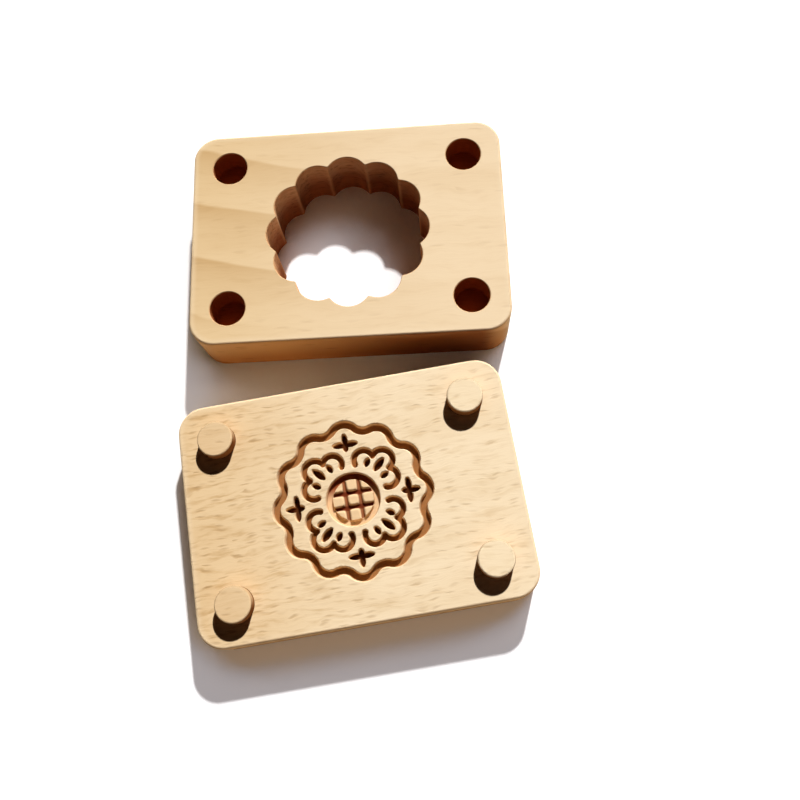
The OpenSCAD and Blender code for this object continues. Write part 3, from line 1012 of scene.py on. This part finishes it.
def carving(x, y):
    """Depth of the whole flower at places on the board's face."""
    strokes = [
        groove(border_line(x, y) - BORDER_W / 2, CARVE_DEPTH, BORDER_RUN),
        groove(petal_line(x, y) - PETAL_W / 2, CARVE_DEPTH, STEEP),
        groove(slots(x, y), SLOT_DEPTH, STEEP),
        groove(crosses(x, y), SLOT_DEPTH, STEEP),
        seed_head(x, y),
    ]
    return np.max(strokes, axis=0)


print("deepest stroke", carving(np.linspace(0, 25, 400), np.zeros(400)).max().round(2), "mm")

# %% [markdown]
# ## The pattern board
# The board is a plate with four drilled seats for the pegs and the carved flower in its middle. Bisecting
# the plate first frames the square that holds the flower, so only that square is divided finely. The grid
# stays under two hundred thousand triangles, and a cell is still only a sixth of a millimetre wide.

# %% Make the pattern board
CARVED_HALF = 25.5
FIRST_CUTS, FINE_CUTS = 2, 100
GLUE_GAP = 0.05
SHARP_FROM = 50

board = sanded_plate("carved_board", BOARD_H, BOARD_WOOD)
take(board, "EDIT")
for axis in ((1, 0, 0), (0, 1, 0)):
    for place in (-CARVED_HALF, CARVED_HALF):
        bpy.ops.mesh.select_all(action="SELECT")
        bpy.ops.mesh.bisect(plane_co=[place * MM * a for a in axis], plane_no=axis)
start_fresh()
seat = [(PEG_BOTTOM, 0), (BOARD_H + 1, 0)]
carve_away(board, [drill("seat_drill", PEG_R + GLUE_GAP, seat, place, BOARD_WOOD) for place in PEG_PLACES])

take(board, "EDIT")
pick("FACE", lambda corners: all(
    abs(c.z - BOARD_H) < HAIR and max(abs(c.x), abs(c.y)) < CARVED_HALF + HAIR for c in corners
))
bpy.ops.mesh.subdivide(number_cuts=FIRST_CUTS)
bpy.ops.mesh.subdivide(number_cuts=FINE_CUTS)
start_fresh()

places = np.empty(len(board.data.vertices) * 3)
board.data.vertices.foreach_get("co", places)
places = places.reshape(-1, 3) / MM
face = (places[:, 2] > BOARD_H - HAIR) & (np.abs(places[:, :2]).max(axis=1) < CARVED_HALF + HAIR)
places[face, 2] -= carving(places[face, 0], places[face, 1])
board.data.vertices.foreach_set("co", (places * MM).ravel())
board.data.update()
smooth_faces(board, SHARP_FROM)
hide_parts("pattern_board")
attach(board, "board")
print(f"board: {len(board.data.polygons)} faces, {face.sum()} points on the carved square")

# %% [markdown]
# ## The pegs
# Four short dowels are glued into the seats and stand a few millimetres proud, with the top edge broken so
# that the block slips on. Each is turned in full, down to the bottom of its seat, because a short stub
# would leave an empty seat behind it. One tool outline serves all four, and each peg gets its own mesh.

# %% Make the pegs
PEG_BEVEL = 0.6
PEG_EDGE = ((PEG_BEVEL, 0), (0.28, -0.08), (0.08, -0.28), (0, -PEG_BEVEL))
peg_levels = [(PEG_BOTTOM, -PEG_BEVEL), (PEG_BOTTOM + PEG_BEVEL, 0)]
peg_levels += [(PEG_TOP - down, growth) for down, growth in PEG_EDGE]
for name, place in zip(PEGS, PEG_PLACES):
    peg = drill(f"turned_{name}", PEG_R, peg_levels, place, PEG_WOOD)
    smooth_faces(peg, SHARP_FROM)
    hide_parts(name)
    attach(peg, "board")
    print(peg.name, "at", place.to_tuple(2))

# %% [markdown]
# ## The cavity block
# The block is the same plate, thicker. A router follows twelve flutes right through it, and the ridges
# between them are eased a little with paper, so their outline is a soft maximum of neighbouring arcs and
# not a sharp corner. The sockets are drilled blind, a touch wider than the pegs. The mouths of both are
# chamfered.

# %% Make the cavity block
RIDGE_R = CAVITY_R - FLUTE_DEPTH
RIDGE_EASE = 0.5
SOCKET_R, SOCKET_DEPTH = 5.6, 7.8
SOCKET_FILLET = ((0, -0.5), (0.15, -0.15), (0.5, 0))
CHAMFER = 0.25
PAST = 0.5
CORNERS_PER_FLUTE = 24
RIDGES_SHARP_FROM = 35


def flute_radius(angle):
    """Radius of the cavity at an angle: the outer of two neighbouring flutes, with the ridge eased."""
    drop = CAVITY_R - RIDGE_R * math.cos(HALF_STEP)
    r = (drop**2 + (RIDGE_R * math.sin(HALF_STEP)) ** 2) / (2 * drop)
    centre = CAVITY_R - r
    off = (angle + HALF_STEP) % (2 * HALF_STEP) - HALF_STEP
    near, far = (
        centre * math.cos(a) + math.sqrt(max(r**2 - (centre * math.sin(a)) ** 2, 0))
        for a in (off, off - math.copysign(2 * HALF_STEP, off))
    )
    return (near + far + math.hypot(near - far, RIDGE_EASE)) / 2


block = sanded_plate("fluted_block", BLOCK_H, BLOCK_WOOD)
mouths = [(-PAST, CHAMFER + PAST), (CHAMFER, 0), (BLOCK_H - CHAMFER, 0), (BLOCK_H + PAST, CHAMFER + PAST)]
router = upright_tool("cavity_router", CORNERS_PER_FLUTE * FLUTES, flute_radius, mouths, (0, 0), CUT_WOOD)
bottom = BLOCK_H - SOCKET_DEPTH
socket = [(bottom + up, growth) for up, growth in SOCKET_FILLET] + mouths[2:]
drills = [drill("socket_drill", SOCKET_R, socket, place, CUT_WOOD) for place in PEG_PLACES]
carve_away(block, [router, *drills])
block.rotation_euler.z = BLOCK_TURN
block.location = (BLOCK_MIDDLE.x * MM, BLOCK_MIDDLE.y * MM, 0)
take(block)
bpy.ops.object.transform_apply(location=True, rotation=True, scale=True)
smooth_faces(block, RIDGES_SHARP_FROM)
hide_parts("cavity_block")
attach(block, "block")
print(f"block: {len(block.data.polygons)} faces, materials", [m.name for m in block.data.materials])
